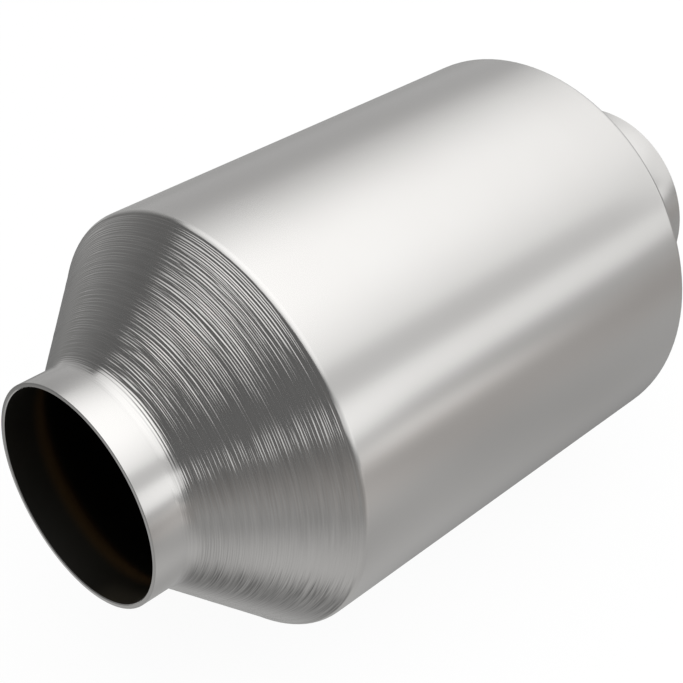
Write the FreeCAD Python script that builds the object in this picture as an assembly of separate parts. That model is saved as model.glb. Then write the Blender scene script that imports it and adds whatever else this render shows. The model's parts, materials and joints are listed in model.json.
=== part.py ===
import FreeCAD, Part
import math
import os

# Round catalytic converter with spun ends. Exhaust gas flows along +X, from the inlet neck to the
# outlet neck. The origin is the centre of the inlet's mouth, +Z is up, and all sizes are in millimetres.
# One steel tube is the whole casing: both of its ends are spun down over a cone to a short neck.
# Two ceramic honeycomb bricks stand in it one behind the other, each wrapped in a fibre mat whose
# two edges are covered by a knitted wire ring.

# Casing
body_diameter = 127.9        # outside of the straight barrel
body_length = 139.7          # barrel, from crease to crease
cone_length = 31.95          # along the axis, from the crease to the start of the neck
neck_length = 12.5           # from the mouth to where neck and cone would meet in a sharp corner
wall = 1.35                  # sheet thickness, the same all over
pipe_diameter = 63.5         # exhaust pipe that slips into each neck
pipe_clearance = 0.15        # between pipe and neck, all round
neck_bend = 6.5              # hollow bend outside, between neck and cone
crease_bend = 2.4            # rounded crease outside, between cone and barrel
mouth_chamfer = 0.25         # deburred edges of each mouth

# Ridges that the spinning roller leaves on the outside of each cone
ridge_pitch = 2.2            # roller feed, along the cone
ridge_depth = 0.16           # deepest valley
ridge_variation = 0.6        # how much shallower the shallowest one is, as a share of that depth
ridge_beat = 2.4             # radians from one valley's place in that variation to the next
ridge_margin = 1.2           # plain strip beside each bend

# Bricks, with square through channels
mat_thickness = 3.5          # squeezed between brick and barrel
brick_gap = 6.4              # between the two bricks
brick_setback = 1.9          # from the end of the barrel's straight bore to the brick's outer face
channel_pitch = 9.9
channel_web = 1.3            # wall between two channels
brick_skin = 1.5             # wall round the outside of a brick
least_channel = 0.25         # smallest channel kept at the skin, as a share of a whole one

# Mats and wire rings
seal_width = 5.0             # wire ring, along the axis
seal_edge = 0.9              # its chamfered edges
mat_slit = 0.5               # gap where the wrapped mat's ends meet
tongue_length = 16.0         # tongue at the mat's end, round the brick
tongue_share = 0.34          # its width, as a share of the mat's

least_step = 1e-6            # an outline's shorter edges and flatter corners are left out

X_AXIS = FreeCAD.Vector(1, 0, 0)
ORIGIN = FreeCAD.Vector(0, 0, 0)

body_radius = body_diameter / 2
bore_radius = body_radius - wall
neck_bore_radius = pipe_diameter / 2 + pipe_clearance
neck_radius = neck_bore_radius + wall
end_length = neck_length + cone_length
overall_length = body_length + 2 * end_length
cone_angle = math.atan2(body_radius - neck_radius, cone_length)
inner_shift = wall * math.tan(cone_angle / 2)    # how far the wall moves the inner corners inwards
bore_start = end_length + inner_shift + max(crease_bend - wall, 0) * math.tan(cone_angle / 2)
bore_end = overall_length - bore_start

brick_radius = bore_radius - mat_thickness
brick_length = (bore_end - bore_start - brick_gap) / 2 - brick_setback
mat_length = brick_length - 2 * seal_width
front_brick_start = bore_start + brick_setback
rear_brick_start = front_brick_start + brick_length + brick_gap


def at(x, radius):
    """A point of a profile, in the half plane above the axis."""
    return FreeCAD.Vector(x, 0, radius)


def unit(a, b):
    step = b - a
    return step * (1 / step.Length)


def profile_edges(corners):
    """Edges of a closed outline. A corner is (point, radius), and a radius above 0 rounds it."""
    rounded = []
    for number, (corner, radius) in enumerate(corners):
        before = corners[number - 1][0]
        after = corners[(number + 1) % len(corners)][0]
        to_before, to_after = unit(corner, before), unit(corner, after)
        turn = math.pi - to_before.getAngle(to_after)
        if radius <= 0 or turn < least_step:
            rounded.append((corner, None, corner))
            continue
        run = radius * math.tan(turn / 2)
        middle = to_before + to_after
        height = radius / math.cos(turn / 2) - radius
        top = corner + middle * (height / middle.Length)
        rounded.append((corner + to_before * run, top, corner + to_after * run))
    edges = []
    for number, (start, top, end) in enumerate(rounded):
        if top is not None:
            edges.append(Part.Arc(start, top, end).toShape())
        following = rounded[(number + 1) % len(rounded)][0]
        if (following - end).Length > least_step:
            edges.append(Part.LineSegment(end, following).toShape())
    return edges


def turned(corners):
    """The solid that a closed outline sweeps round the axis."""
    face = Part.Face(Part.Wire(profile_edges(corners)))
    return face.revolve(ORIGIN, X_AXIS, 360)


def ridged_cone():
    """Crests and valleys on the inlet cone's outside, from the neck to the crease."""
    foot, crease = at(neck_length, neck_radius), at(end_length, body_radius)
    along = unit(foot, crease)
    inwards = FreeCAD.Vector(along.z, 0, -along.x)
    bend_run = math.tan(cone_angle / 2)
    first = neck_bend * bend_run + ridge_margin
    last = (crease - foot).Length - crease_bend * bend_run - ridge_margin
    count = max(1, int((last - first) / ridge_pitch))
    pitch = (last - first) / count
    points = [foot + along * first]
    for number in range(count):
        shallower = ridge_variation * (1 - math.cos(ridge_beat * number)) / 2
        valley = foot + along * (first + (number + 0.5) * pitch)
        points.append(valley + inwards * ridge_depth * (1 - shallower))
        points.append(foot + along * (first + (number + 1) * pitch))
    return [(point, 0) for point in points]


def mirrored(corners):
    """The same corners at the outlet, in the order that carries on round the outline."""
    return [(at(overall_length - point.x, point.z), radius) for point, radius in reversed(corners)]


def casing():
    outside = [(at(0, neck_radius - mouth_chamfer), 0), (at(mouth_chamfer, neck_radius), 0)]
    outside.append((at(neck_length, neck_radius), neck_bend))
    outside += ridged_cone()
    outside.append((at(end_length, body_radius), crease_bend))
    inner_crease = max(crease_bend - wall, 0)
    inside = [(at(0, neck_bore_radius + mouth_chamfer), 0), (at(mouth_chamfer, neck_bore_radius), 0)]
    inside.append((at(neck_length + inner_shift, neck_bore_radius), neck_bend + wall))
    inside.append((at(end_length + inner_shift, bore_radius), inner_crease))
    return turned(outside + mirrored(outside) + mirrored(inside)[::-1] + inside[::-1])


def channel_faces():
    """Square channels on a grid centred on the axis, those at the rim cut to the skin."""
    side = channel_pitch - channel_web
    reach = brick_radius - brick_skin
    count = int(reach / channel_pitch) + 1
    core = Part.Face(Part.Wire(Part.makeCircle(reach, ORIGIN, X_AXIS)))
    found = []
    for row in range(-count, count + 1):
        for column in range(-count, count + 1):
            y, z = column * channel_pitch, row * channel_pitch
            low = FreeCAD.Vector(0, y - side / 2, z - side / 2)
            corners = [low, low + FreeCAD.Vector(0, side, 0), low + FreeCAD.Vector(0, side, side)]
            corners.append(low + FreeCAD.Vector(0, 0, side))
            corners.append(low)
            square = Part.Face(Part.makePolygon(corners))
            furthest = max(math.hypot(corner.y, corner.z) for corner in corners)
            nearest = math.hypot(max(abs(y) - side / 2, 0), max(abs(z) - side / 2, 0))
            if furthest <= reach:
                found.append(square)
            elif nearest < reach:
                found += [f for f in square.common(core).Faces if f.Area > least_channel * side ** 2]
    return found


def brick(start):
    """Extruded ceramic brick, with its channels along the flow."""
    body = Part.makeCylinder(brick_radius, brick_length, at(start, 0), X_AXIS)
    through = [face.extrude(X_AXIS * brick_length) for face in channel_faces()]
    channels = Part.makeCompound(through)
    channels.translate(at(start, 0))
    return body.cut(channels)


def ring(start, length, edge):
    """A ring that fills the room between brick and barrel, its edges chamfered if edge is above 0."""
    end = start + length
    profile = [at(start + edge, brick_radius), at(start, brick_radius + edge)]
    profile += [at(start, bore_radius - edge), at(start + edge, bore_radius)]
    profile += [at(end - edge, bore_radius), at(end, bore_radius - edge)]
    profile += [at(end, brick_radius + edge), at(end - edge, brick_radius)]
    if edge <= 0:
        profile = profile[::2]
    return turned([(point, 0) for point in profile])


def mat(start):
    """Fibre mat wrapped once round its brick, its ends meeting under the brick in a tongue joint."""
    wrap = ring(start, mat_length, 0)
    middle_radius = (brick_radius + bore_radius) / 2
    tongue_angle = math.degrees(tongue_length / middle_radius)
    tongue_width = mat_length * tongue_share
    low_side = (mat_length - tongue_width) / 2
    reach = bore_radius + mat_slit

    def long_slit(x, length, angle):
        slit = Part.makeBox(length, mat_slit, reach, FreeCAD.Vector(x, -mat_slit / 2, -reach))
        slit.rotate(ORIGIN, X_AXIS, angle)
        return slit

    def cross_slit(x):
        corners = [(at(x, brick_radius - mat_slit), 0), (at(x, reach), 0)]
        corners += [(at(x + mat_slit, reach), 0), (at(x + mat_slit, brick_radius - mat_slit), 0)]
        slit = Part.Face(Part.Wire(profile_edges(corners))).revolve(ORIGIN, X_AXIS, tongue_angle)
        slit.rotate(ORIGIN, X_AXIS, 180)
        return slit

    tongue_start = start + low_side
    tongue_end = tongue_start + tongue_width
    wrap = wrap.cut(long_slit(start, low_side + mat_slit, 0))
    wrap = wrap.cut(long_slit(tongue_start, tongue_width, tongue_angle))
    wrap = wrap.cut(long_slit(tongue_end - mat_slit, low_side + mat_slit, 0))
    wrap = wrap.cut(cross_slit(tongue_start))
    return wrap.cut(cross_slit(tongue_end - mat_slit))


def write(name, shape):
    os.makedirs("parts", exist_ok=True)
    solids = shape.Solids
    if not solids or not all(solid.isValid() for solid in solids):
        raise ValueError(name + " is not a valid solid")
    result = solids[0] if len(solids) == 1 else Part.makeCompound(solids)
    result.exportStep("parts/" + name + ".step")


write("casing", casing())
for place, brick_start in (("inlet", front_brick_start), ("outlet", rear_brick_start)):
    mat_start = brick_start + seal_width
    write(place + "_brick", brick(brick_start))
    write(place + "_mat", mat(mat_start))
    write(place + "_mat_front_seal", ring(brick_start, seal_width, seal_edge))
    write(place + "_mat_rear_seal", ring(mat_start + mat_length, seal_width, seal_edge))
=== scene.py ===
import json
import math

import bpy
import numpy as np
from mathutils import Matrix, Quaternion, Vector


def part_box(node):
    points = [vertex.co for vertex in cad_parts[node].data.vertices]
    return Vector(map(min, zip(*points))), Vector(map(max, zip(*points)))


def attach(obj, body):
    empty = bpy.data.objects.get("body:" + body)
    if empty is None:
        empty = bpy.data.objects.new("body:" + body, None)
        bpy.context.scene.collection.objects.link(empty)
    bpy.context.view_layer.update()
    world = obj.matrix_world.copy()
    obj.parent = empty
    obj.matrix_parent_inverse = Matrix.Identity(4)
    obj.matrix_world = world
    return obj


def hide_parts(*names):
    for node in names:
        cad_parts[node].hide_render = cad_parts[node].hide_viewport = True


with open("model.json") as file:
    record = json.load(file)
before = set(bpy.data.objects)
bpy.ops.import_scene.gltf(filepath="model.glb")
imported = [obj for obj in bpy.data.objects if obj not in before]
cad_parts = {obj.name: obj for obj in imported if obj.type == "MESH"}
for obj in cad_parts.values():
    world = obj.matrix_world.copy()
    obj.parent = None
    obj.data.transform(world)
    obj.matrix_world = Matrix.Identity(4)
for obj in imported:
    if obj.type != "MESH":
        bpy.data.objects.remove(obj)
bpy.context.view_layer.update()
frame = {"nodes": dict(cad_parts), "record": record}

# A round catalytic converter in the frame of its solids, in metres. Gas flows along +X from the inlet
# neck to the outlet neck, the origin is the centre of the inlet's mouth and +Z is up.
# The casing is one spun steel tube. Inside it are two ceramic honeycomb bricks in fibre mats, and a
# knitted wire ring covers each edge of a mat.
# Places round the axis are in degrees from the top, by way of the front at -Y.

# Casing, with the lengths of the solid
MOUNT_RADIUS = {mount["name"]: mount["dims"]["r_mm"] / 1000 for mount in frame["record"]["mounts"]}
CASING_LOW, CASING_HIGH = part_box("casing")
LENGTH = CASING_HIGH[0] - CASING_LOW[0]
BODY_RADIUS = CASING_HIGH[2]
NECK_RADIUS = MOUNT_RADIUS["inlet_neck"]
NECK_BORE = MOUNT_RADIUS["inlet_bore"]
WALL = NECK_RADIUS - NECK_BORE
NECK_LENGTH = 0.0125
CONE_LENGTH = 0.03195
NECK_BEND = 0.0065
CREASE_BEND = 0.0024
MOUTH_CHAMFER = 0.00025        # inside edge of the rim
RIM_ROUNDING = 0.00025         # outside edge of the rim
CONE_ANGLE = math.atan2(BODY_RADIUS - NECK_RADIUS, CONE_LENGTH)
END_LENGTH = NECK_LENGTH + CONE_LENGTH
INNER_SHIFT = WALL * math.tan(CONE_ANGLE / 2)

# Points of the casing's mesh
TURNS = 120                    # round the axis
RIM_STEPS = 4                  # round the edge of the rim
NECK_STEPS = 24                # round the bend between neck and cone
CREASE_STEPS = 7               # round the crease between cone and barrel
LINING_STEPS = 5               # round each bend inside
BARREL_RINGS = (0.3, 0.5, 0.7)  # shares of the length

# Spinning grooves, on the outside of each cone
GROOVE_RINGS = 370             # points along a cone
GROOVE_TILT = 0.17             # mean slope of their sides
GROOVE_LIMIT = 0.8             # steepest slope, as a share of what chance alone would give
GROOVE_LEVEL = 0.8             # crests above this share of the highest are cut flush
GROOVE_START = 0.009           # first one, still on the neck
NECK_GROOVES = 0.25            # depth of those on the neck, as a share of the cone's
CONE_FADE = 0.003              # length past the neck over which they get their full depth
CREASE_FADE = 0.0004           # length before the crease over which they run out
GROOVE_WIDTH = (1.0, 2.0)      # points; grooves narrower or much wider than these are left out
GROOVE_DRIFT = 8.0             # points; longer waves along a cone are left out
LONG_STREAK = (0.87, 14.0)     # share of the height, and degrees round the axis
SHORT_STREAK = (0.49, 4.0)
GROOVE_SEEDS = {"inlet": 11, "outlet": 29}

# Honeycomb
CELL_PITCH = 0.00127
CELL_WALL = 0.000165
BRICK_SKIN = 0.0005
CELL_CORNERS = ((0, 0), (0, 1), (1, 1), (1, 0))   # rows and columns from a cell's first corner

# Knitted wire rings
KNIT_LOOP = 0.0017
KNIT_DEPTH = 0.00018
KNIT_ROWS = 5                  # loops round the section
LOOP_POINTS = 4                # points round the axis that go with each loop
WIRE_ROUNDING = 0.0009
WIRE_STEPS = 4
WIRE_POINTS = 30               # points round the section


def rounded(corners, steps):
    """Points of an open outline. A corner is (x, radius, bend), and a bend above 0 becomes an arc."""
    points = []
    for number, (x, r, bend) in enumerate(corners):
        corner = Vector((x, r))
        if bend <= 0:
            points.append((x, r))
            continue
        before = (Vector(corners[number - 1][:2]) - corner).normalized()
        after = (Vector(corners[number + 1][:2]) - corner).normalized()
        turn = math.pi - before.angle(after)
        run = bend * math.tan(turn / 2)
        middle = (before + after).normalized()
        centre = corner + middle * (bend / math.cos(turn / 2))
        start, end = corner + before * run - centre, corner + after * run - centre
        for step in range(steps + 1):
            share = step / steps
            spoke = start * math.sin((1 - share) * turn) + end * math.sin(share * turn)
            point = centre + spoke / math.sin(turn)
            points.append((point.x, point.y))
    return points


def evenly(points, count):
    """So many evenly spaced points on the same outline."""
    points = np.array(points)
    lengths = np.concatenate([[0], np.cumsum(np.linalg.norm(np.diff(points, axis=0), axis=1))])
    wanted = np.linspace(0, lengths[-1], count)
    xs, radii = (np.interp(wanted, lengths, column).tolist() for column in points.T)
    return list(zip(xs, radii))


def ease(value, start, end):
    """0 before start, 1 past end, and smooth between."""
    share = np.clip((value - start) / (end - start), 0, 1)
    return share * share * (3 - 2 * share)


def mesh_object(name, verts, faces, sharp_angle=None):
    mesh = bpy.data.meshes.new(name)
    mesh.from_pydata(verts, [], faces)
    mesh.validate()
    piece = bpy.data.objects.new(name, mesh)
    bpy.context.scene.collection.objects.link(piece)
    mesh.shade_smooth()
    if sharp_angle is not None:
        mesh.set_sharp_from_angle(angle=math.radians(sharp_angle))
    return piece


def ring_faces(rings, turns):
    """Quads between neighbouring rings of a closed outline, round the whole axis."""
    ring, turn = np.meshgrid(np.arange(rings), np.arange(turns), indexing="ij")
    next_ring, next_turn = (ring + 1) % rings, (turn + 1) % turns
    quads = [ring * turns + turn, ring * turns + next_turn]
    quads += [next_ring * turns + next_turn, next_ring * turns + turn]
    return np.stack([quad.ravel() for quad in quads], axis=1)


def round_the_axis(xs, radii):
    """Points of rings round the X axis, from the x and the radius of every point."""
    angle = np.linspace(0, 2 * math.pi, xs.shape[1], endpoint=False)
    return np.stack([xs, -radii * np.sin(angle), radii * np.cos(angle)], axis=-1).reshape(-1, 3)


def smoothed(field, along, around):
    """A field of rings and turns, blurred by so many rings along and so many points around."""
    rings, turns = field.shape
    ring_pace = np.fft.fftfreq(rings)[:, None]
    turn_pace = np.fft.rfftfreq(turns)
    blur = np.exp(-2 * math.pi ** 2 * ((ring_pace * along) ** 2 + (turn_pace * around) ** 2))
    return np.fft.irfft2(np.fft.rfft2(field) * blur, field.shape)


def groove_depths(seed):
    """Depth of the spinning grooves, in steps between rings, on a grid of rings and turns."""
    rng = np.random.default_rng(seed)
    degree = TURNS / 360
    heights = 0
    for share, length in (LONG_STREAK, SHORT_STREAK):
        noise = rng.standard_normal((GROOVE_RINGS, TURNS))
        narrow, wide = (smoothed(noise, width, length * degree) for width in GROOVE_WIDTH)
        streaks = narrow - wide
        heights = heights + share * streaks / streaks.std()
    slopes = np.diff(heights, axis=0, prepend=heights[-1:])
    slopes = np.tanh(slopes / slopes.std() / GROOVE_LIMIT)
    heights = np.cumsum(slopes * GROOVE_TILT / slopes.std(), axis=0)
    heights = heights - smoothed(heights, GROOVE_DRIFT, 0)
    return np.clip(heights.max() * GROOVE_LEVEL - heights, 0, None)


def grooved_rings(points, seed):
    """x and radius of every point of the spun rings, pushed inwards to the depth of its groove."""
    points = np.array(points)
    along = np.gradient(points, axis=0)
    step = np.linalg.norm(along, axis=1)[:, None]
    inwards = np.stack([along[:, 1], -along[:, 0]], axis=1) / step
    place = np.arange(len(points)) * step[0, 0]
    neck_end = (NECK_LENGTH - GROOVE_START) - NECK_BEND * math.tan(CONE_ANGLE / 2)
    on_neck = NECK_GROOVES * ease(place, 0, neck_end)
    on_cone = (1 - NECK_GROOVES) * ease(place, neck_end, neck_end + CONE_FADE)
    share = (on_neck + on_cone) * ease(place[::-1], 0, CREASE_FADE)
    depth = groove_depths(seed) * share[:, None] * step
    return points[:, :1] + inwards[:, :1] * depth, points[:, 1:] + inwards[:, 1:] * depth


def plain_rings(points):
    """x and radius of every point of the rings that go round through an outline's points."""
    xs, radii = np.array(points).T
    return np.repeat(xs[:, None], TURNS, axis=1), np.repeat(radii[:, None], TURNS, axis=1)


def joined(*stretches):
    """x and radius of all rings of several stretches, one after the other."""
    return [np.concatenate(parts) for parts in zip(*stretches)]


def casing_end(seed):
    """Outside of one end: plain rings of rim and neck, grooved rings, and plain rings of the crease."""
    rim = rounded([(0, NECK_BORE + MOUTH_CHAMFER, 0), (0, NECK_RADIUS, RIM_ROUNDING),
                   (GROOVE_START, NECK_RADIUS, 0)], RIM_STEPS)
    crease = rounded([(NECK_LENGTH, NECK_RADIUS, 0), (END_LENGTH, BODY_RADIUS, CREASE_BEND),
                      (LENGTH / 2, BODY_RADIUS, 0)], CREASE_STEPS)[1:-1]
    spun = rounded([(GROOVE_START, NECK_RADIUS, 0), (NECK_LENGTH, NECK_RADIUS, NECK_BEND),
                    (*crease[0], 0)], NECK_STEPS)
    spun = evenly(spun, GROOVE_RINGS + 2)[1:-1]
    return joined(plain_rings(rim), grooved_rings(spun, seed), plain_rings(crease))


def casing_outside():
    """Rings from the rim of the inlet's mouth to that of the outlet's."""
    inlet, outlet = (casing_end(GROOVE_SEEDS[end]) for end in ("inlet", "outlet"))
    barrel = plain_rings([(LENGTH * share, BODY_RADIUS) for share in BARREL_RINGS])
    xs, radii = outlet
    return joined(inlet, barrel, (LENGTH - xs[::-1], radii[::-1]))


def casing_lining():
    """Rings of the inside, from the outlet's mouth back to the inlet's."""
    inner_crease = max(CREASE_BEND - WALL, 0)
    inside = rounded([(MOUTH_CHAMFER, NECK_BORE, 0),
                      (NECK_LENGTH + INNER_SHIFT, NECK_BORE, NECK_BEND + WALL),
                      (END_LENGTH + INNER_SHIFT, BODY_RADIUS - WALL, inner_crease),
                      (LENGTH / 2, BODY_RADIUS - WALL, 0)], LINING_STEPS)
    return plain_rings([(LENGTH - x, r) for x, r in inside[:-1]] + inside[::-1])


def sharpen(mesh, crisp_rings):
    """Sharp edges along the rings with these numbers."""
    pairs = np.empty(len(mesh.edges) * 2, np.int32)
    mesh.edges.foreach_get("vertices", pairs)
    rings = pairs.reshape(-1, 2) // TURNS
    sharp = (rings[:, 0] == rings[:, 1]) & np.isin(rings[:, 0], crisp_rings)
    mesh.attributes.new("sharp_edge", "BOOLEAN", "EDGE").data.foreach_set("value", sharp)


def casing():
    """The spun tube: plain neck and barrel, grooved cones, and a dark inside."""
    outside = casing_outside()
    xs, radii = joined(outside, casing_lining())
    faces = ring_faces(*xs.shape)
    piece = mesh_object("casing_spun_tube", round_the_axis(xs, radii).tolist(), faces.tolist())
    lining_start, last = len(outside[0]), len(xs) - 1
    number = np.arange(len(xs))
    dark = (number >= lining_start) & (number < last)
    piece.data.polygons.foreach_set("material_index", np.repeat(dark.astype(np.int32), TURNS))
    rim_edges = [0, lining_start - 1, lining_start, last]
    sharpen(piece.data, rim_edges)
    return piece


def whole_cells(reach):
    """Rows and columns of the cells that lie whole within a radius."""
    count = int(reach / CELL_PITCH) + 1
    numbers = range(-count, count + 1)
    return [(row, column) for row in numbers for column in numbers
            if math.hypot((abs(row) + 0.5) * CELL_PITCH, (abs(column) + 0.5) * CELL_PITCH) <= reach]


def cell_corners(row, column):
    """Rows and columns of a cell's four corners, in order round it."""
    return [(row + down, column + across) for down, across in CELL_CORNERS]


def corner_place(row, column):
    """y and z of the first corner of a cell."""
    return column * CELL_PITCH - CELL_PITCH / 2, row * CELL_PITCH - CELL_PITCH / 2


def corner_angle(corner):
    """Turn round the axis at which a corner lies, in radians."""
    y, z = corner_place(*corner)
    return math.atan2(z, y)


def cell_faces(outer, hole, rear):
    """Front, rear and channel of one cell. Rear is how much higher the rear points' numbers are."""
    faces = []
    for this in range(4):
        after = (this + 1) % 4
        faces.append((outer[this], hole[this], hole[after], outer[after]))
        faces.append((outer[this] + rear, outer[after] + rear, hole[after] + rear, hole[this] + rear))
        faces.append((hole[this], hole[this] + rear, hole[after] + rear, hole[after]))
    return faces


def honeycomb(name, node):
    """A brick with every square cell open from end to end, and a skin round the outermost cells."""
    low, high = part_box(node)
    radius = (high[2] - low[2]) / 2
    cells = whole_cells(radius - BRICK_SKIN)
    meeting = {}
    for cell in cells:
        for corner in cell_corners(*cell):
            meeting[corner] = meeting.get(corner, 0) + 1
    corner_number = {corner: number for number, corner in enumerate(meeting)}
    edge = sorted((corner for corner in meeting if meeting[corner] < 4), key=corner_angle)

    # Points of one face: the corners where cells meet, those of the holes, and the rim of the skin
    flat = [corner_place(*corner) for corner in meeting]
    holes_from = len(flat)
    hole = (CELL_PITCH - CELL_WALL) / 2
    for row, column in cells:
        y, z = column * CELL_PITCH, row * CELL_PITCH
        flat += [(y - hole, z - hole), (y + hole, z - hole), (y + hole, z + hole), (y - hole, z + hole)]
    rim_from = len(flat)
    for angle in map(corner_angle, edge):
        flat.append((radius * math.cos(angle), radius * math.sin(angle)))
    rear = len(flat)
    verts = [(x, y, z) for x in (low[0], high[0]) for y, z in flat]

    faces = []
    for number, cell in enumerate(cells):
        outer = [corner_number[corner] for corner in cell_corners(*cell)]
        inner = [holes_from + 4 * number + turn for turn in range(4)]
        faces += cell_faces(outer, inner, rear)
    for number, corner in enumerate(edge):
        after = (number + 1) % len(edge)
        a, b = corner_number[corner], corner_number[edge[after]]
        rim_a, rim_b = rim_from + number, rim_from + after
        faces.append((rim_a, a, b, rim_b))
        faces.append((rim_a + rear, rim_b + rear, b + rear, a + rear))
        faces.append((rim_a, rim_b, rim_b + rear, rim_a + rear))
    return mesh_object(name, verts, faces, sharp_angle=30)


def brick_radius():
    low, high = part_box("inlet_brick")
    return (high[2] - low[2]) / 2


def wire_section(start, end, inner, outer):
    """x and radius of evenly spaced points round a wire ring's section, its corners rounded."""
    middle, edge = (start + end) / 2, WIRE_ROUNDING
    corners = [(start + edge, outer, 0), (middle, outer, 0), (end, outer, edge), (end, inner, edge),
               (middle, inner, 0), (start, inner, edge), (start, outer, edge), (start + edge, outer, 0)]
    outline = rounded(corners, WIRE_STEPS)[:-1]
    return np.array(evenly(outline + outline[:1], WIRE_POINTS + 1)[:-1])


def knitted_ring(name, node):
    """A ring of knitted wire, squeezed between brick and barrel."""
    low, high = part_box(node)
    outer = (high[2] - low[2]) / 2
    inner = outer - (BODY_RADIUS - WALL - brick_radius())
    section = wire_section(low[0], high[0], inner, outer)
    loops = int(2 * math.pi * outer / KNIT_LOOP)
    angle = np.linspace(0, 2 * math.pi, loops * LOOP_POINTS, endpoint=False)
    place = np.arange(WIRE_POINTS) / WIRE_POINTS * 2 * math.pi
    slant = angle * (loops / 2)
    first = np.abs(np.sin(np.add.outer(place * KNIT_ROWS, slant)))
    second = np.abs(np.sin(np.add.outer(-place * KNIT_ROWS, slant)))
    depth = KNIT_DEPTH * (1 - np.maximum(first, second) ** 2)
    spokes = section - ((low[0] + high[0]) / 2, (outer + inner) / 2)
    away = np.hypot(*spokes.T)[:, None]
    xs = section[:, :1] - spokes[:, :1] / away * depth
    radii = section[:, 1:] - spokes[:, 1:] / away * depth
    return mesh_object(name, round_the_axis(xs, radii).tolist(), ring_faces(*xs.shape).tolist())


# Colours, as red, green and blue. A pair holds the two tones that a finish drifts between.
STEEL_TONES = ((0.605, 0.593, 0.580), (0.640, 0.634, 0.622))
LINING_TONES = ((0.0044, 0.0037, 0.0020), (0.0086, 0.0072, 0.0040))
# painted reflection: brown ring on the inside where each bore ends
REFLECTION_BROWN = (0.052, 0.028, 0.009)
# painted light: a paler patch on the inside, low down just within the inlet's mouth
PAINTED_LIGHT_GREY = (0.028, 0.0235, 0.016)
CERAMIC_TONES = ((0.040, 0.032, 0.022), (0.085, 0.070, 0.050))
FIBRE_TONES = ((0.50, 0.47, 0.40), (0.76, 0.73, 0.66))
WIRE_TONES = ((0.20, 0.185, 0.165), (0.42, 0.40, 0.37))

# Steel
BARREL_ROUGHNESS = 0.23
CONE_ROUGHNESS = 0.17
CREASE_REACH = (-0.0002, 0.0008)   # where the cone's finish starts, from the crease towards the neck
NECK_REACH = (0.0, 0.0042)         # where it ends, from the neck's end towards the mouth
LINE_NOISE = (0.3, 0.7)            # noise in the darkest and in the palest line on a cone
LINE_SHADE = 0.97                  # darkest line, as a share of the steel's colour
FRONT_PAINTED_SHADE = 0.84                 # the same on the front, where the lines hold painted shade that stands in for the grooves' reflections
FRONT_START = (56, 68)             # degrees, where the front's painted shade sets in and where it is full
FRONT_END = (86, 104)              # degrees, where it starts to fade and where it ends

# Painted dark reflection low on the inlet cone, put into the steel's colour
DARK_REFLECTION_START = (105, 121)           # degrees, where it sets in and where it is full
DARK_REFLECTION_END = (125, 144)             # degrees, where it starts to fade and where it ends
DARK_REFLECTION_FRAY = 16.0                  # degrees that its edge varies from groove to groove
DARK_REFLECTION_DEPTH = 0.5                  # share of the steel's colour that it takes away
DARK_REFLECTION_NOISE = (0.2, 0.8)           # noise in its palest and in its darkest line
DARK_REFLECTION_LINES = (0.3, 1.7)           # share of its depth in each of them
DARK_REFLECTION_NECK = (NECK_LENGTH - 0.0040, NECK_LENGTH + 0.0012)    # x, where it sets in and where it is full
DARK_REFLECTION_CREASE = (END_LENGTH - 0.0008, END_LENGTH - 0.0005)    # x, where it starts to fade and where it ends

# Inside of the casing
BAND_SHIFT = 0.0005                # middle of the band of painted brown reflection, past the end of the bore
BAND_HALF = (0.0005, 0.0050)       # from its middle, where it starts to fade and where it ends
PAINTED_LIGHT_AIM = (0, -0.54, -0.84)      # from the axis to the painted patch of light
PAINTED_LIGHT_ROUND = (0.0270, 0.0315)     # reach that way, where it starts and where it is full
PAINTED_LIGHT_DEPTH = (0.003, 0.009)       # from the mouth, where it starts to fade and where it ends


def fill(tree, node, values):
    """Gives a node's named or numbered inputs their values or links."""
    for name, value in values.items():
        if isinstance(value, bpy.types.NodeSocket):
            tree.links.new(value, node.inputs[name])
        else:
            node.inputs[name].default_value = value


def add(tree, kind, values=None, **settings):
    """A new node, with its settings and the values or links of its inputs."""
    node = tree.nodes.new(kind)
    for name, value in settings.items():
        setattr(node, name, value)
    fill(tree, node, values or {})
    return node


def calc(tree, operation, *values):
    """The result of one sum, from numbers or links in the node's order."""
    return add(tree, "ShaderNodeMath", dict(enumerate(values)), operation=operation).outputs[0]


def ramp(tree, value, span, first=0.0, last=1.0, kind="SMOOTHSTEP"):
    """From first to last as the value crosses a span."""
    values = {"Value": value, "From Min": span[0], "From Max": span[1], "To Min": first, "To Max": last}
    return add(tree, "ShaderNodeMapRange", values, interpolation_type=kind).outputs[0]


def fade(tree, value, span):
    """From 1 to 0 as the value crosses a span."""
    return ramp(tree, value, span, 1.0, 0.0)


def mix(tree, share, first, last):
    """A number between two. A Mix node's sockets share their names, so they go by number."""
    return add(tree, "ShaderNodeMix", {0: share, 2: first, 3: last}, data_type="FLOAT").outputs[0]


def opaque(colour):
    """A colour with its alpha, or a link as it is."""
    return (*colour, 1) if isinstance(colour, tuple) else colour


def blend(tree, share, first, last):
    """A colour between two, each of them a colour or a link."""
    values = {0: share, 6: opaque(first), 7: opaque(last)}
    return add(tree, "ShaderNodeMix", values, data_type="RGBA").outputs[2]


def on_part(tree):
    """The place on the part, in its own frame."""
    return add(tree, "ShaderNodeTexCoord").outputs["Object"]


def split(tree, place):
    """x, y and z of a place."""
    return list(add(tree, "ShaderNodeSeparateXYZ", {"Vector": place}).outputs)


def from_middle(tree):
    """Distance along the axis from the middle of the part, so that both ends are alike."""
    x = split(tree, on_part(tree))[0]
    return calc(tree, "ABSOLUTE", calc(tree, "SUBTRACT", x, LENGTH / 2))


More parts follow.
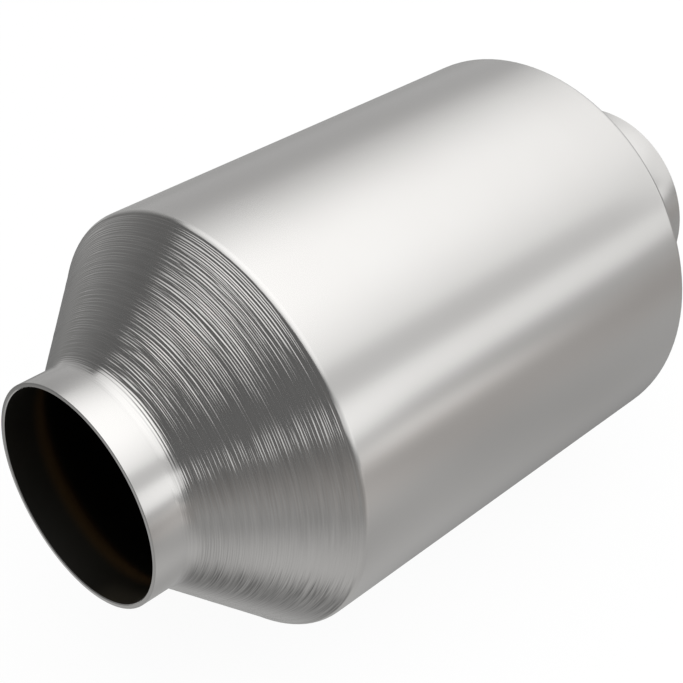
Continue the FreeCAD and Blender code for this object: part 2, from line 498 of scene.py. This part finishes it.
def new_group(name, inputs, outputs):
    """A node group with its named inputs and outputs, and its input and output nodes."""
    group = bpy.data.node_groups.new(name, "ShaderNodeTree")
    for label, kind in inputs:
        group.interface.new_socket(label, in_out="INPUT", socket_type=kind)
    for label, kind in outputs:
        group.interface.new_socket(label, in_out="OUTPUT", socket_type=kind)
    return group, group.nodes.new("NodeGroupInput").outputs, group.nodes.new("NodeGroupOutput")


def mottle_group():
    """A colour that drifts between two tones over the part, and the noise that it follows."""
    numbers = [(label, "NodeSocketFloat") for label in ("Scale", "Detail", "Distortion")]
    tones = [(label, "NodeSocketColor") for label in ("First Tone", "Last Tone")]
    outputs = [("Colour", "NodeSocketColor"), ("Noise", "NodeSocketFloat")]
    group, given, result = new_group("mottle", numbers + tones, outputs)
    settings = {label: given[label] for label, kind in numbers}
    noise = add(group, "ShaderNodeTexNoise", {"Vector": on_part(group), **settings}).outputs["Fac"]
    colour = blend(group, noise, given["First Tone"], given["Last Tone"])
    fill(group, result, {"Colour": colour, "Noise": noise})
    return group


def lathe_lines_group():
    """Fine lines that run round the axis. A line's Spacing and its Reach round the part are in metres."""
    inputs = [("Spacing", "NodeSocketFloat"), ("Reach", "NodeSocketFloat")]
    group, given, result = new_group("lathe lines", inputs, [("Lines", "NodeSocketFloat")])
    x, y, z = split(group, on_part(group))
    along = calc(group, "DIVIDE", x, given["Spacing"])
    side, height = (calc(group, "DIVIDE", value, given["Reach"]) for value in (y, z))
    place = add(group, "ShaderNodeCombineXYZ", {"X": along, "Y": side, "Z": height}).outputs[0]
    values = {"Vector": place, "Scale": 1.0, "Detail": 2.0, "Roughness": 0.6}
    fill(group, result, {"Lines": add(group, "ShaderNodeTexNoise", values).outputs["Fac"]})
    return group


def cone_mask_group():
    """1 on the spun cones and their bends, 0 on the barrel and on the outer part of each neck."""
    group, _, result = new_group("cone mask", [], [("Cone", "NodeSocketFloat")])
    away = from_middle(group)
    crease, neck = LENGTH / 2 - END_LENGTH, LENGTH / 2 - NECK_LENGTH
    outside = ramp(group, away, [crease + reach for reach in CREASE_REACH])
    inside = fade(group, away, [neck + reach for reach in NECK_REACH])
    fill(group, result, {"Cone": calc(group, "MULTIPLY", outside, inside)})
    return group


def zones_group():
    """Dark Reflection is about 1 in the painted dark reflection low on the inlet cone, more or less from
    line to line, and frays along the grooves. Front is 1 on the side of the part that faces -Y."""
    outputs = [("Dark Reflection", "NodeSocketFloat"), ("Front", "NodeSocketFloat")]
    group, _, result = new_group("zones", [], outputs)
    x, y, z = split(group, on_part(group))
    turn = calc(group, "DEGREES", calc(group, "ARCTAN2", calc(group, "MULTIPLY", y, -1.0), z))
    lines = lathe_lines(group, spacing=0.00017, reach=0.014)
    frayed = calc(group, "ADD", turn, calc(group, "MULTIPLY", lines, DARK_REFLECTION_FRAY))
    # painted dark reflection: its depth, line by line, in the patch low on the inlet cone
    dark_reflection = ramp(group, lines, DARK_REFLECTION_NOISE, *DARK_REFLECTION_LINES, kind="LINEAR")
    edges = [ramp(group, frayed, [place + DARK_REFLECTION_FRAY / 2 for place in DARK_REFLECTION_START]),
             fade(group, frayed, [place + DARK_REFLECTION_FRAY / 2 for place in DARK_REFLECTION_END]),
             ramp(group, x, DARK_REFLECTION_NECK),
             fade(group, x, DARK_REFLECTION_CREASE)]
    for edge in edges:
        dark_reflection = calc(group, "MULTIPLY", dark_reflection, edge)
    # Front: where the lines on the cones are painted darker, as shade that stands in for the grooves'
    # reflections
    front = calc(group, "MULTIPLY", ramp(group, turn, FRONT_START), fade(group, turn, FRONT_END))
    fill(group, result, {"Dark Reflection": dark_reflection, "Front": front})
    return group


def lathe_lines(tree, spacing, reach):
    """Noise of the fine lines, from 0 to 1."""
    values = {"Spacing": spacing, "Reach": reach}
    return add(tree, "ShaderNodeGroup", values, node_tree=LATHE_LINES).outputs["Lines"]


def mottled(tree, tones, scale, detail, distortion=0.0):
    """Colour and noise of a finish that drifts between two tones."""
    values = {"Scale": scale, "Detail": detail, "Distortion": distortion}
    values.update({"First Tone": opaque(tones[0]), "Last Tone": opaque(tones[1])})
    mottle = add(tree, "ShaderNodeGroup", values, node_tree=MOTTLE)
    return mottle.outputs["Colour"], mottle.outputs["Noise"]


def bumpy(tree, height, strength, distance):
    """The normal of a surface raised by a height."""
    values = {"Height": height, "Strength": strength, "Distance": distance}
    return add(tree, "ShaderNodeBump", values).outputs[0]


def new_material(name, metallic=0.0):
    material = bpy.data.materials.new(name)
    material.use_nodes = True
    shader = material.node_tree.nodes["Principled BSDF"]
    shader.inputs["Metallic"].default_value = metallic
    return material, material.node_tree, shader


def spun_steel():
    """Satin stainless steel, with finer lines between the modelled grooves of the cones. Its colour holds a
    painted dark reflection low on the inlet cone, and painted shade in the lines on the front of the cones.
    """
    material, tree, shader = new_material("spun stainless steel", metallic=1.0)
    cone = add(tree, "ShaderNodeGroup", node_tree=CONE_MASK).outputs["Cone"]
    zones = add(tree, "ShaderNodeGroup", node_tree=ZONES).outputs
    fine = lathe_lines(tree, spacing=0.00045, reach=0.009)
    broad = lathe_lines(tree, spacing=0.0005, reach=0.016)
    tint, _ = mottled(tree, STEEL_TONES, scale=22.0, detail=3.0)
    # painted shade: the lines on the front of each cone are darker, standing in for the grooves' reflections
    # there
    darkest = ramp(tree, zones["Front"], (0.0, 1.0), LINE_SHADE, FRONT_PAINTED_SHADE, kind="LINEAR")
    lined = mix(tree, cone, 1.0, ramp(tree, broad, LINE_NOISE, darkest, 1.0, kind="LINEAR"))
    # painted dark reflection: the patch low on the inlet cone takes away part of the steel's colour
    reflection_factor = calc(tree, "MULTIPLY_ADD", zones["Dark Reflection"], -DARK_REFLECTION_DEPTH, 1.0)
    shade = calc(tree, "MULTIPLY", lined, reflection_factor)
    colour = add(tree, "ShaderNodeVectorMath", {0: tint, "Scale": shade}, operation="SCALE").outputs[0]
    bump = bumpy(tree, calc(tree, "MULTIPLY", fine, cone), strength=0.35, distance=0.00008)
    roughness = mix(tree, cone, BARREL_ROUGHNESS, CONE_ROUGHNESS)
    fill(tree, shader, {"Base Color": colour, "Roughness": roughness, "Normal": bump})
    return material


def bore_end_mask(tree):
    """1 where the straight bore of each neck ends, fading to both sides: the place of the painted brown
    reflection.
    """
    middle = LENGTH / 2 - NECK_LENGTH - INNER_SHIFT - BAND_SHIFT
    distance = calc(tree, "ABSOLUTE", calc(tree, "SUBTRACT", from_middle(tree), middle))
    return fade(tree, distance, BAND_HALF)


def painted_light_mask(tree):
    """1 where light is painted on the inside, just inside the inlet's mouth, low down at its front, fading
    inwards and round the bore.
    """
    place = on_part(tree)
    aimed = add(tree, "ShaderNodeVectorMath", {0: place, 1: PAINTED_LIGHT_AIM}, operation="DOT_PRODUCT")
    round_bore = ramp(tree, aimed.outputs["Value"], PAINTED_LIGHT_ROUND)
    return calc(tree, "MULTIPLY", round_bore, fade(tree, split(tree, place)[0], PAINTED_LIGHT_DEPTH))


def dark_lining():
    """The inside of the casing, near black, with a painted brown reflection where each neck's bore ends,
    and painted light low down just inside the inlet's mouth.
    """
    material, tree, shader = new_material("dark oxide lining")
    tint, _ = mottled(tree, LINING_TONES, scale=60.0, detail=4.0)
    # painted reflection: a brown band where each bore ends
    with_reflection = blend(tree, bore_end_mask(tree), tint, REFLECTION_BROWN)
    # painted light: the paler patch low down just inside the inlet's mouth
    colour = blend(tree, painted_light_mask(tree), with_reflection, PAINTED_LIGHT_GREY)
    fill(tree, shader, {"Base Color": colour, "Specular IOR Level": 0.4, "Roughness": 0.5})
    return material


def coated_ceramic():
    material, tree, shader = new_material("coated ceramic")
    tint, grain = mottled(tree, CERAMIC_TONES, scale=900.0, detail=4.0)
    bump = bumpy(tree, grain, strength=0.4, distance=0.00004)
    fill(tree, shader, {"Base Color": tint, "Normal": bump, "Roughness": 0.85})
    return material


def mat_fibre():
    material, tree, shader = new_material("mat fibre")
    tint, strands = mottled(tree, FIBRE_TONES, scale=700.0, detail=6.0, distortion=1.5)
    bump = bumpy(tree, strands, strength=0.7, distance=0.0002)
    fill(tree, shader, {"Base Color": tint, "Normal": bump, "Roughness": 0.95})
    return material


def knitted_wire():
    material, tree, shader = new_material("knitted wire", metallic=1.0)
    tint, _ = mottled(tree, WIRE_TONES, scale=500.0, detail=3.0)
    fill(tree, shader, {"Base Color": tint, "Roughness": 0.42})
    return material


MOTTLE = mottle_group()
LATHE_LINES = lathe_lines_group()
CONE_MASK = cone_mask_group()
ZONES = zones_group()
STEEL = spun_steel()
LINING = dark_lining()
CERAMIC = coated_ceramic()
FIBRE = mat_fibre()
WIRE = knitted_wire()


def finish_piece(piece, node, materials):
    for material in materials:
        piece.data.materials.append(material)
    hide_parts(node)
    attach(piece, "root")


finish_piece(casing(), "casing", [STEEL, LINING])
for place in ("inlet", "outlet"):
    brick = place + "_brick"
    finish_piece(honeycomb(place + "_honeycomb", brick), brick, [CERAMIC])
    for edge in ("front", "rear"):
        seal = f"{place}_mat_{edge}_seal"
        finish_piece(knitted_ring(seal + "_knit", seal), seal, [WIRE])
    for slot in frame["nodes"][place + "_mat"].material_slots:
        slot.material = FIBRE


# Studio: a closed box of cards that steel sees and the camera doesn't, on a pale floor. Each card's
# glow is a formula of the place on it, as a share of white, and ease gives its soft edges in metres.

FLOOR_Z = -BODY_RADIUS
FLOOR_SIDE = 12.0
FLOOR_POINTS = 161
FLOOR_SPREAD = 6               # the higher, the closer its points lie below the part
CEILING = 1.2
STRIP_WALL_Y = -1.6
BACK_WALL_Y = 1.7
INLET_WALL_X = -2.2
OUTLET_WALL_X = 2.4

FINE_CARD = 96                 # points along each side
PLAIN_CARD = 48
COARSE_CARD = 4

DIM = 0.155                    # glow of a card's unlit parts
SOFTBOX_LEVEL = 1.64           # brightest place
SOFTBOX_INLET_X = -1.07        # its edge at the inlet's end, which slants away from here
SOFTBOX_EDGE = 0.17            # half the width of that soft edge
STRIP_LEVEL = 1.46
STRIP_START = (-1.50, -1.20)   # x, where the strip sets in and where it is full
STRIP_FOOT = 0.03              # z of its lower edge, where that is lowest
STRIP_EDGE = 0.05              # half the width of that soft edge
STRIP_TOP = (0.55, 0.67)       # z, where it starts to fade and where it ends
OUTLET_WALL_LEVEL = 0.3        # at its foot
OUTLET_WALL_TOP = 1.1          # above its foot

# What steel sees of the floor, with the places where it changes
FLOOR_LEVEL = 0.24             # far from the part
FLOOR_BEHIND = (0.05, 0.17)    # y, where the half behind the part sets in and where it is full
UNDER_FRONT = (-0.07, -0.03)   # y of the shade under the part, at its front edge
UNDER_BACK = (0.0, 0.1)        # and at its back edge
UNDER_SHADE = (0.24, 0.16)     # share that it takes at the inlet, and so much more at the outlet
BARREL_EDGE = -0.025           # x from which the floor below the barrel is paler, just behind its front
FLOOR_GREY = 0.72              # as matt surfaces see it
FLOOR_WHITE = 1.03             # strength at which the camera sees the floor as white
WHITE_SHARE = 0.92             # the rest of what the camera sees of the floor has shadows
WARM_TONES = ((1.0, 0.998, 0.992), (1.0, 0.965, 0.94))
AMBIENT = 0.4                  # world light that comes by way of matt surfaces

# Round spots on it: glow, x and y of the middle, and the radii where each starts to fade and ends
FLOOR_SPOTS = (
    (0.12, -0.07, 0.06, 0.03, 0.12),
    (-0.07, 0.06, -0.12, 0.02, 0.07),
    (0.13, 0.10, -0.22, 0.03, 0.12),
    (0.30, 0.13, -0.46, 0.04, 0.22),
    (0.05, 0.27, -0.17, 0.03, 0.12),
    (0.045, -0.07, -0.13, 0.03, 0.11),
    (0.12, 0.24, -0.44, 0.02, 0.12),
)
LIT_GLOW = 0.90                # the long lit patch in front
LIT_X, LIT_Y = 0.45, -0.61
LIT_AIM = (0.58, -0.81)        # the way it runs
LIT_FADE = (0.03, 0.19)        # half its width, where it starts to fade and where it ends


def softbox_glow(x, y, z):
    """Brightest above the part, with a slanting edge at the inlet's end."""
    outlet_fall = 0.33 * np.clip(x - 0.52, 0, 2)
    inlet_fall = 0.5 * ease(-x, -0.15, 1.0)
    outlet_lip = 0.08 * ease(x, 1.6, 1.8)
    level = SOFTBOX_LEVEL - outlet_fall - inlet_fall + outlet_lip
    back = 1 - 0.50 * ease(y, 0.0, 1.75) - (0.07 - 0.13 * ease(x, 0.7, 1.9)) * ease(y, 0.3, 1.0)
    front = 1 - (0.21 - 0.07 * ease(x, 0.6, 1.6)) * ease(-y, 0.3, 1.5)
    front_edge = 1 - 0.25 * ease(-y, 1.42, 1.6)
    slant = 0.05 * y + 0.25 * np.clip(y - 0.4, 0, 2) + 0.2 * np.clip(-y - 0.35, 0, 2)
    inlet_edge = SOFTBOX_INLET_X + slant
    back_corner = ease(y, 1.1, 1.4) * (1 - ease(x, 0.1, 1.0))
    lit = ease(x, inlet_edge - SOFTBOX_EDGE, inlet_edge + SOFTBOX_EDGE) * (1 - back_corner)
    return DIM + (level * back * front * front_edge - DIM) * lit


def back_wall_glow(x, y, z):
    """Paler towards the outlet's end, the foot and the top."""
    outlet_half = 0.33 * ease(x, -0.6, 1.0)
    foot = 0.075 * (1 - ease(z, 0.0, 1.1)) * (1 - 0.4 * ease(x, 0.9, 1.3))
    top = 0.12 * ease(z, 0.6, 1.3) * ease(x, 0.1, 1.0)
    return DIM + outlet_half + foot + top


def strip_wall_glow(x, y, z):
    """A bright strip along the wall in front of the part."""
    foot = STRIP_FOOT + 0.10 * ease(x, 1.0, 1.3) + 0.12 * (1 - ease(x, -0.6, 0.6))
    strip = ease(z, foot - STRIP_EDGE, foot + STRIP_EDGE) * (1 - ease(z, *STRIP_TOP)) * ease(x, *STRIP_START)
    plain = DIM + (0.33 + 0.22 * ease(z, 0.1, 0.6)) * ease(x, -1.3, 0.4)
    outlet_fall = 0.32 * np.clip(x - 0.8, 0, 2)
    inlet_fall = 0.50 * (1 - ease(x, -0.5, 1.0))
    outlet_lip = 0.25 * ease(x, 1.9, 2.2)
    level = STRIP_LEVEL - outlet_fall - inlet_fall + outlet_lip
    return plain + (level - plain) * strip


def inlet_wall_glow(x, y, z):
    """Nearly even, a little paler towards the front."""
    return DIM + 0.03 * ease(-y, 0.9, 1.5)


def outlet_wall_glow(x, y, z):
    """Bright above the foot, less so towards the back."""
    rise = OUTLET_WALL_TOP - OUTLET_WALL_LEVEL
    return OUTLET_WALL_LEVEL + rise * ease(z, 0.0, 0.5) * (1 - 0.5 * ease(y, 0.9, 1.7))


def lit_patch(x, y):
    """The long lit patch on the floor in front, twice as long as it is wide."""
    along = LIT_AIM[0] * (x - LIT_X) + LIT_AIM[1] * (y - LIT_Y)
    across = -LIT_AIM[1] * (x - LIT_X) + LIT_AIM[0] * (y - LIT_Y)
    return LIT_GLOW * (1 - ease(np.hypot(across, along / 2), *LIT_FADE))


def floor_glow(x, y, z):
    """What steel sees of the floor. It gets paler from the inlet's end to the barrel, darker right
    under the part, and has spots and a lit patch."""
    behind = ease(y, *FLOOR_BEHIND)
    shifted = x - 0.17 * behind
    inlet_side = (0.12 - 0.08 * behind) * ease(shifted, -0.34, -0.04)
    back_strip = behind * (0.02 - 0.055 * (1 - ease(y, 0.22, 0.42)))
    crease = BARREL_EDGE + 0.7 * np.clip(-y - 0.07, 0, 0.2)
    below_barrel = (0.25 + 0.07 * behind) * ease(shifted, crease - 0.05, crease + 0.045)
    past_barrel = (0.17 + 0.01 * behind) * ease(x, 0.12 * behind, 0.2 + 0.1 * behind)
    far_inlet = 0.03 * ease(-x, 0.4, 0.7)
    far_outlet = 0.07 * ease(x, 0.58, 0.68) * ease(-y, 0.0, 0.15)
    level = FLOOR_LEVEL + inlet_side + back_strip + below_barrel - past_barrel - far_inlet + far_outlet
    under = ease(y, *UNDER_FRONT) * (1 - ease(y, *UNDER_BACK))
    level = level * (1 - (UNDER_SHADE[0] + UNDER_SHADE[1] * ease(x, 0.05, 0.1)) * under)
    for glow, spot_x, spot_y, inner, outer in FLOOR_SPOTS:
        level = level + glow * (1 - ease(np.hypot(x - spot_x, y - spot_y), inner, outer))
    return level + lit_patch(x, y)


def glowing_sheet(name, points, glow, material):
    """A sheet through a grid of points, with its glow kept in each of them."""
    rows, columns = points.shape[:2]
    row, column = np.meshgrid(np.arange(rows - 1), np.arange(columns - 1), indexing="ij")
    first = (row * columns + column).ravel()
    faces = np.stack([first, first + columns, first + columns + 1, first + 1], axis=1)
    points = points.reshape(-1, 3)
    obj = mesh_object(name, points.tolist(), faces.tolist())
    levels = np.ascontiguousarray(glow(*points.T), np.float32)
    obj.data.attributes.new("glow", "FLOAT", "POINT").data.foreach_set("value", levels)
    obj.data.materials.append(material)
    return obj


def bare_material(name):
    """A material without nodes."""
    material = bpy.data.materials.new(name)
    material.use_nodes = True
    material.node_tree.nodes.clear()
    return material, material.node_tree


def card_glow():
    material, tree = bare_material("card glow")
    level = add(tree, "ShaderNodeAttribute", attribute_name="glow")
    glow = add(tree, "ShaderNodeEmission", {"Strength": level.outputs["Fac"]})
    add(tree, "ShaderNodeOutputMaterial", {"Surface": glow.outputs[0]})
    return material


CARD_GLOW = card_glow()


def card(name, corner, across, up, glow, steps=PLAIN_CARD):
    """A studio card whose glow is a formula of the place."""
    share = np.linspace(0, 1, steps)
    u, v = np.meshgrid(share, share, indexing="ij")
    points = np.array(corner) + u[..., None] * np.array(across) + v[..., None] * np.array(up)
    obj = glowing_sheet(name, points, glow, CARD_GLOW)
    obj.visible_camera = False
    obj.visible_shadow = False


def card_box():
    """The softbox above and the four walls."""
    length = (OUTLET_WALL_X - INLET_WALL_X, 0, 0)
    depth = (0, BACK_WALL_Y - STRIP_WALL_Y, 0)
    height = (0, 0, CEILING - FLOOR_Z)
    near_corner = (INLET_WALL_X, STRIP_WALL_Y, FLOOR_Z)
    card("softbox", (INLET_WALL_X, STRIP_WALL_Y, CEILING), length, depth, softbox_glow, FINE_CARD)
    card("back_wall", (INLET_WALL_X, BACK_WALL_Y, FLOOR_Z), length, height, back_wall_glow)
    card("strip_wall", near_corner, length, height, strip_wall_glow, FINE_CARD)
    card("inlet_wall", near_corner, depth, height, inlet_wall_glow, COARSE_CARD)
    card("outlet_wall", (OUTLET_WALL_X, STRIP_WALL_Y, FLOOR_Z), depth, height, outlet_wall_glow)


def seen_directly(tree):
    """Whether a ray is the camera's, and whether it comes by gloss or through glass."""
    path = add(tree, "ShaderNodeLightPath").outputs
    return path["Is Camera Ray"], calc(tree, "MAXIMUM", path["Is Glossy Ray"], path["Is Transmission Ray"])


def mixed_shader(tree, share, first, last):
    return add(tree, "ShaderNodeMixShader", {0: share, 1: first.outputs[0], 2: last.outputs[0]})


def pale_floor():
    """White to the camera but for soft shadows, and the floor's glow to steel."""
    material, tree = bare_material("pale floor")
    camera_ray, gloss = seen_directly(tree)
    level = add(tree, "ShaderNodeAttribute", attribute_name="glow").outputs["Fac"]
    matt = add(tree, "ShaderNodeBsdfDiffuse", {"Color": (FLOOR_GREY, FLOOR_GREY, FLOOR_GREY, 1)})
    white = add(tree, "ShaderNodeEmission", {"Strength": FLOOR_WHITE})
    y = split(tree, on_part(tree))[1]
    warmth = calc(tree, "MULTIPLY", fade(tree, y, (-0.20, -0.12)), ramp(tree, y, (-0.75, -0.35)))
    warm = blend(tree, warmth, *WARM_TONES)
    reflected = add(tree, "ShaderNodeEmission", {"Color": warm, "Strength": level})
    for_camera = mixed_shader(tree, calc(tree, "MULTIPLY", camera_ray, WHITE_SHARE), matt, white)
    for_all = mixed_shader(tree, gloss, for_camera, reflected)
    add(tree, "ShaderNodeOutputMaterial", {"Surface": for_all.outputs[0]})
    return material


def floor():
    """A floor whose grid is fine below the part and coarse far from it."""
    steps = np.sinh(np.linspace(-FLOOR_SPREAD, FLOOR_SPREAD, FLOOR_POINTS))
    steps *= FLOOR_SIDE / 2 / steps[-1]
    x, y = np.meshgrid(steps, steps, indexing="ij")
    points = np.stack([x, y, np.full_like(x, FLOOR_Z)], axis=-1)
    obj = glowing_sheet("floor", points, floor_glow, pale_floor())


def white_world():
    """White to the camera and in reflections, and dimmer as light."""
    world = bpy.data.worlds.new("white ground")
    bpy.context.scene.world = world
    world.use_nodes = True
    tree = world.node_tree
    tree.nodes.clear()
    camera_ray, gloss = seen_directly(tree)
    ambient = add(tree, "ShaderNodeBackground", {"Color": (1, 1, 1, 1), "Strength": AMBIENT})
    white = add(tree, "ShaderNodeBackground", {"Color": (1, 1, 1, 1), "Strength": 1.0})
    seen = mixed_shader(tree, calc(tree, "MAXIMUM", camera_ray, gloss), ambient, white)
    add(tree, "ShaderNodeOutputWorld", {"Surface": seen.outputs[0]})


card_box()
floor()
white_world()

# Camera at the photograph's angle, level but for a slight roll
CAMERA_AZIMUTH = math.radians(-44.75)
CAMERA_ELEVATION = math.radians(34.17)
CAMERA_ROLL = math.radians(-0.44)
CAMERA_CLIP = 0.01
PHOTO_SIDE = 683               # pixels
FOCAL_LENGTH = 1452            # pixels
SENSOR = 36.0                  # millimetres
MOUTH_RIGHT = -0.07034         # where the camera sees the centre of the inlet's mouth, before it rolls
MOUTH_DOWN = 0.04053
MOUTH_AHEAD = 0.3814


def camera():
    back = Vector((math.sin(CAMERA_AZIMUTH) * math.cos(CAMERA_ELEVATION),
                   -math.cos(CAMERA_AZIMUTH) * math.cos(CAMERA_ELEVATION), math.sin(CAMERA_ELEVATION)))
    right = Vector((0, 0, 1)).cross(back).normalized()
    up = back.cross(right)
    data = bpy.data.cameras.new("camera")
    data.sensor_width = SENSOR
    data.lens = SENSOR * FOCAL_LENGTH / PHOTO_SIDE
    data.clip_start = CAMERA_CLIP
    obj = bpy.data.objects.new("camera", data)
    bpy.context.scene.collection.objects.link(obj)
    obj.location = back * MOUTH_AHEAD + up * MOUTH_DOWN - right * MOUTH_RIGHT
    obj.rotation_mode = "QUATERNION"
    obj.rotation_quaternion = (-back).to_track_quat("-Z", "Y") @ Quaternion((0, 0, 1), CAMERA_ROLL)
    bpy.context.scene.camera = obj


camera()
bpy.context.scene.view_settings.view_transform = "Standard"
